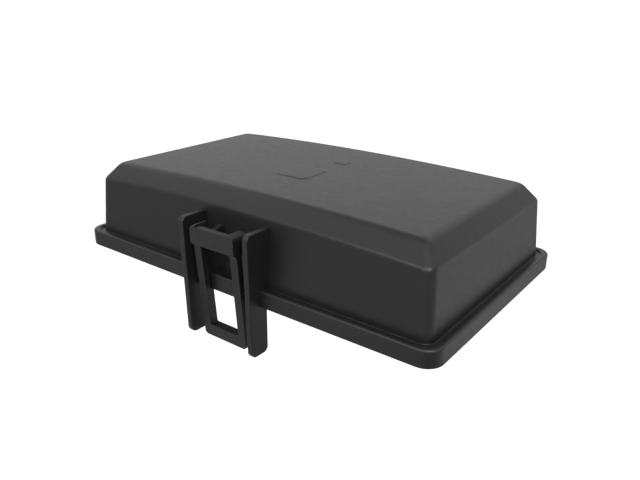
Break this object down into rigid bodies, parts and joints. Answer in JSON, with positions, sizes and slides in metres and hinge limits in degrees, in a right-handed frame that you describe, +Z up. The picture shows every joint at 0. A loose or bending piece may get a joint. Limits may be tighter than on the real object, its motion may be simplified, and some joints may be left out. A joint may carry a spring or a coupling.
{
  "type": "bait station",
  "caption": "Low-profile lockable bait station: crowned black cover hinged over a floor pan, thumb latch with a loop at the front, lift-out tray and bait rods inside.",
  "frame": {"origin": "centre of the floor pan's flat underside, level with the cover's lower edge", "axes": "+X along the length, -Y towards the latch side, +Z up through the crowned top"},
  "size_m": [0.24, 0.1613, 0.0802],
  "materials": {
    "cover_plastic": "satin moulded, fine texture",
    "latch_plastic": "satin moulded",
    "pan_plastic": "matte moulded",
    "tray_plastic": "satin moulded",
    "steel": "zinc plated",
    "rubber": "matte",
    "bait": "wax, matte",
    "card": "laminated card"
  },
  "bodies": {
    "base": {"base_pan": "pan_plastic", "tunnel_wall": "pan_plastic", "hinge_pin_left": "steel", "hinge_pin_right": "steel", "anchor_screw_1": "steel", "screw_washer_1": "rubber", "anchor_screw_2": "steel", "screw_washer_2": "rubber", "anchor_screw_3": "steel", "screw_washer_3": "rubber", "anchor_screw_4": "steel", "screw_washer_4": "rubber"},
    "cover": {"cover_shell": "cover_plastic", "latch_pin": "steel", "latch_spring": "steel", "service_card": "card"},
    "latch": {"latch_lever": "latch_plastic"},
    "tray": {"bait_tray": "tray_plastic"},
    "rod_front": {"bait_rod_front": "steel", "bait_block_front_1": "bait", "bait_block_front_2": "bait", "bait_block_front_3": "bait"},
    "rod_rear": {"bait_rod_rear": "steel", "bait_block_rear_1": "bait", "bait_block_rear_2": "bait", "bait_block_rear_3": "bait"}
  },
  "joints": [
    {"name": "cover_hinge", "type": "hinge", "parent": "base", "child": "cover", "pos_m": [0, 0.077, 0.0035], "axis": [-1, 0, 0], "range_deg": [0, 105]},
    {"name": "latch_pivot", "type": "hinge", "parent": "cover", "child": "latch", "pos_m": [0, -0.074, 0.03], "axis": [-1, 0, 0], "range_deg": [0, 12], "stiffness_Nm_per_rad": 0.12, "springref_deg": -20.05, "deforming": ["latch_spring"]},
    {"name": "tray_lift", "type": "slide", "parent": "base", "child": "tray", "axis": [0, 0, 1], "range_m": [0, 0.005]},
    {"name": "rod_front_lift", "type": "slide", "parent": "tray", "child": "rod_front", "axis": [0, 0, 1], "range_m": [0, 0.006]},
    {"name": "rod_rear_lift", "type": "slide", "parent": "tray", "child": "rod_rear", "axis": [0, 0, 1], "range_m": [0, 0.006]}
  ]
}
